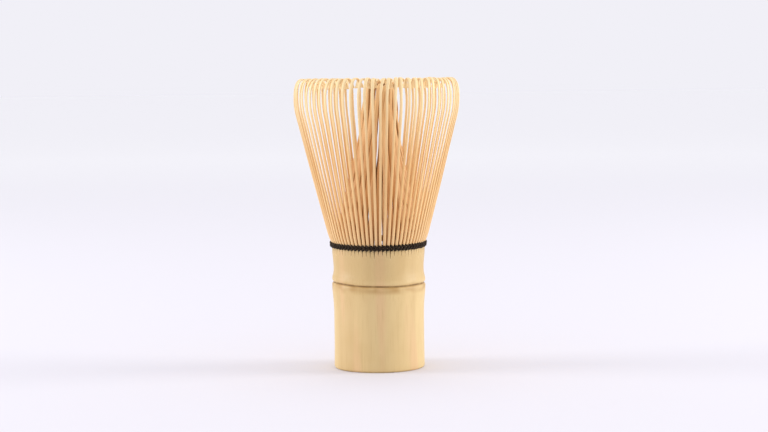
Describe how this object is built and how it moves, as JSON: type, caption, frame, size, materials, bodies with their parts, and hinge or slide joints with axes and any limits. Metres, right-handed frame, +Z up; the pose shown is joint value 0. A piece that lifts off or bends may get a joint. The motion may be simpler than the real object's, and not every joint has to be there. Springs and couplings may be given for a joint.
{
  "type": "bamboo tea whisk",
  "caption": "Upright tea whisk: a cylindrical bamboo handle with a node, and a flared crown of fine tines round a gathered inner bundle, bound with black thread.",
  "frame": {"origin": "centre of the foot of the handle, on the surface it stands on", "axes": "+Z up along the culm towards the tines; -Y is the side that faces the viewer, +X is to the viewer's right"},
  "size_m": [0.0604, 0.0604, 0.1059],
  "materials": {
    "culm_skin": "dried, bleached bamboo skin, satin",
    "outer_tine_bamboo": "split and pared bamboo, matt",
    "inner_tine_bamboo": "split and pared bamboo, matt, warmer inner wood",
    "black_thread": "twisted cotton thread, dyed black"
  },
  "bodies": {
    "handle": {"handle_culm": "culm_skin", "binding_thread": "black_thread"},
    "outer_comb_01": {"outer_comb_01": "outer_tine_bamboo"},
    "outer_comb_02": {"outer_comb_02": "outer_tine_bamboo"},
    "outer_comb_03": {"outer_comb_03": "outer_tine_bamboo"},
    "outer_comb_04": {"outer_comb_04": "outer_tine_bamboo"},
    "outer_comb_05": {"outer_comb_05": "outer_tine_bamboo"},
    "outer_comb_06": {"outer_comb_06": "outer_tine_bamboo"},
    "outer_comb_07": {"outer_comb_07": "outer_tine_bamboo"},
    "outer_comb_08": {"outer_comb_08": "outer_tine_bamboo"},
    "outer_comb_09": {"outer_comb_09": "outer_tine_bamboo"},
    "outer_comb_10": {"outer_comb_10": "outer_tine_bamboo"},
    "outer_comb_11": {"outer_comb_11": "outer_tine_bamboo"},
    "outer_comb_12": {"outer_comb_12": "outer_tine_bamboo"},
    "outer_comb_13": {"outer_comb_13": "outer_tine_bamboo"},
    "outer_comb_14": {"outer_comb_14": "outer_tine_bamboo"},
    "outer_comb_15": {"outer_comb_15": "outer_tine_bamboo"},
    "outer_comb_16": {"outer_comb_16": "outer_tine_bamboo"},
    "outer_comb_17": {"outer_comb_17": "outer_tine_bamboo"},
    "outer_comb_18": {"outer_comb_18": "outer_tine_bamboo"},
    "inner_bundle": {"inner_comb_01": "inner_tine_bamboo", "inner_comb_02": "inner_tine_bamboo", "inner_comb_03": "inner_tine_bamboo", "inner_comb_04": "inner_tine_bamboo", "inner_comb_05": "inner_tine_bamboo", "inner_comb_06": "inner_tine_bamboo", "inner_comb_07": "inner_tine_bamboo", "inner_comb_08": "inner_tine_bamboo", "inner_comb_09": "inner_tine_bamboo", "inner_comb_10": "inner_tine_bamboo", "inner_comb_11": "inner_tine_bamboo", "inner_comb_12": "inner_tine_bamboo", "inner_comb_13": "inner_tine_bamboo", "inner_comb_14": "inner_tine_bamboo", "inner_comb_15": "inner_tine_bamboo", "inner_comb_16": "inner_tine_bamboo", "inner_comb_17": "inner_tine_bamboo", "inner_comb_18": "inner_tine_bamboo"}
  },
  "joints": [
    {"name": "outer_flex_01", "type": "hinge", "parent": "handle", "child": "outer_comb_01", "pos_m": [0, -0.0165, 0.0455], "axis": [1, 0, 0], "range_deg": [-2, 6], "stiffness_Nm_per_rad": 0.05},
    {"name": "outer_flex_02", "type": "hinge", "parent": "handle", "child": "outer_comb_02", "pos_m": [0.00564, -0.0155, 0.0455], "axis": [0.9397, 0.342, 0], "range_deg": [-2, 6], "stiffness_Nm_per_rad": 0.05},
    {"name": "outer_flex_03", "type": "hinge", "parent": "handle", "child": "outer_comb_03", "pos_m": [0.01061, -0.01264, 0.0455], "axis": [0.766, 0.6428, 0], "range_deg": [-2, 6], "stiffness_Nm_per_rad": 0.05},
    {"name": "outer_flex_04", "type": "hinge", "parent": "handle", "child": "outer_comb_04", "pos_m": [0.01429, -0.00825, 0.0455], "axis": [0.5, 0.866, 0], "range_deg": [-2, 6], "stiffness_Nm_per_rad": 0.05},
    {"name": "outer_flex_05", "type": "hinge", "parent": "handle", "child": "outer_comb_05", "pos_m": [0.01625, -0.00286, 0.0455], "axis": [0.1736, 0.9848, 0], "range_deg": [-2, 6], "stiffness_Nm_per_rad": 0.05},
    {"name": "outer_flex_06", "type": "hinge", "parent": "handle", "child": "outer_comb_06", "pos_m": [0.01625, 0.00286, 0.0455], "axis": [-0.1736, 0.9848, 0], "range_deg": [-2, 6], "stiffness_Nm_per_rad": 0.05},
    {"name": "outer_flex_07", "type": "hinge", "parent": "handle", "child": "outer_comb_07", "pos_m": [0.01429, 0.00825, 0.0455], "axis": [-0.5, 0.866, 0], "range_deg": [-2, 6], "stiffness_Nm_per_rad": 0.05},
    {"name": "outer_flex_08", "type": "hinge", "parent": "handle", "child": "outer_comb_08", "pos_m": [0.01061, 0.01264, 0.0455], "axis": [-0.766, 0.6428, 0], "range_deg": [-2, 6], "stiffness_Nm_per_rad": 0.05},
    {"name": "outer_flex_09", "type": "hinge", "parent": "handle", "child": "outer_comb_09", "pos_m": [0.00564, 0.0155, 0.0455], "axis": [-0.9397, 0.342, 0], "range_deg": [-2, 6], "stiffness_Nm_per_rad": 0.05},
    {"name": "outer_flex_10", "type": "hinge", "parent": "handle", "child": "outer_comb_10", "pos_m": [0, 0.0165, 0.0455], "axis": [-1, 0, 0], "range_deg": [-2, 6], "stiffness_Nm_per_rad": 0.05},
    {"name": "outer_flex_11", "type": "hinge", "parent": "handle", "child": "outer_comb_11", "pos_m": [-0.00564, 0.0155, 0.0455], "axis": [-0.9397, -0.342, 0], "range_deg": [-2, 6], "stiffness_Nm_per_rad": 0.05},
    {"name": "outer_flex_12", "type": "hinge", "parent": "handle", "child": "outer_comb_12", "pos_m": [-0.01061, 0.01264, 0.0455], "axis": [-0.766, -0.6428, 0], "range_deg": [-2, 6], "stiffness_Nm_per_rad": 0.05},
    {"name": "outer_flex_13", "type": "hinge", "parent": "handle", "child": "outer_comb_13", "pos_m": [-0.01429, 0.00825, 0.0455], "axis": [-0.5, -0.866, 0], "range_deg": [-2, 6], "stiffness_Nm_per_rad": 0.05},
    {"name": "outer_flex_14", "type": "hinge", "parent": "handle", "child": "outer_comb_14", "pos_m": [-0.01625, 0.00286, 0.0455], "axis": [-0.1736, -0.9848, 0], "range_deg": [-2, 6], "stiffness_Nm_per_rad": 0.05},
    {"name": "outer_flex_15", "type": "hinge", "parent": "handle", "child": "outer_comb_15", "pos_m": [-0.01625, -0.00286, 0.0455], "axis": [0.1736, -0.9848, 0], "range_deg": [-2, 6], "stiffness_Nm_per_rad": 0.05},
    {"name": "outer_flex_16", "type": "hinge", "parent": "handle", "child": "outer_comb_16", "pos_m": [-0.01429, -0.00825, 0.0455], "axis": [0.5, -0.866, 0], "range_deg": [-2, 6], "stiffness_Nm_per_rad": 0.05},
    {"name": "outer_flex_17", "type": "hinge", "parent": "handle", "child": "outer_comb_17", "pos_m": [-0.01061, -0.01264, 0.0455], "axis": [0.766, -0.6428, 0], "range_deg": [-2, 6], "stiffness_Nm_per_rad": 0.05},
    {"name": "outer_flex_18", "type": "hinge", "parent": "handle", "child": "outer_comb_18", "pos_m": [-0.00564, -0.0155, 0.0455], "axis": [0.9397, -0.342, 0], "range_deg": [-2, 6], "stiffness_Nm_per_rad": 0.05},
    {"name": "inner_sway", "type": "hinge", "parent": "handle", "child": "inner_bundle", "pos_m": [0, 0, 0.0455], "axis": [0, 1, 0], "range_deg": [-4, 4], "stiffness_Nm_per_rad": 0.3}
  ]
}
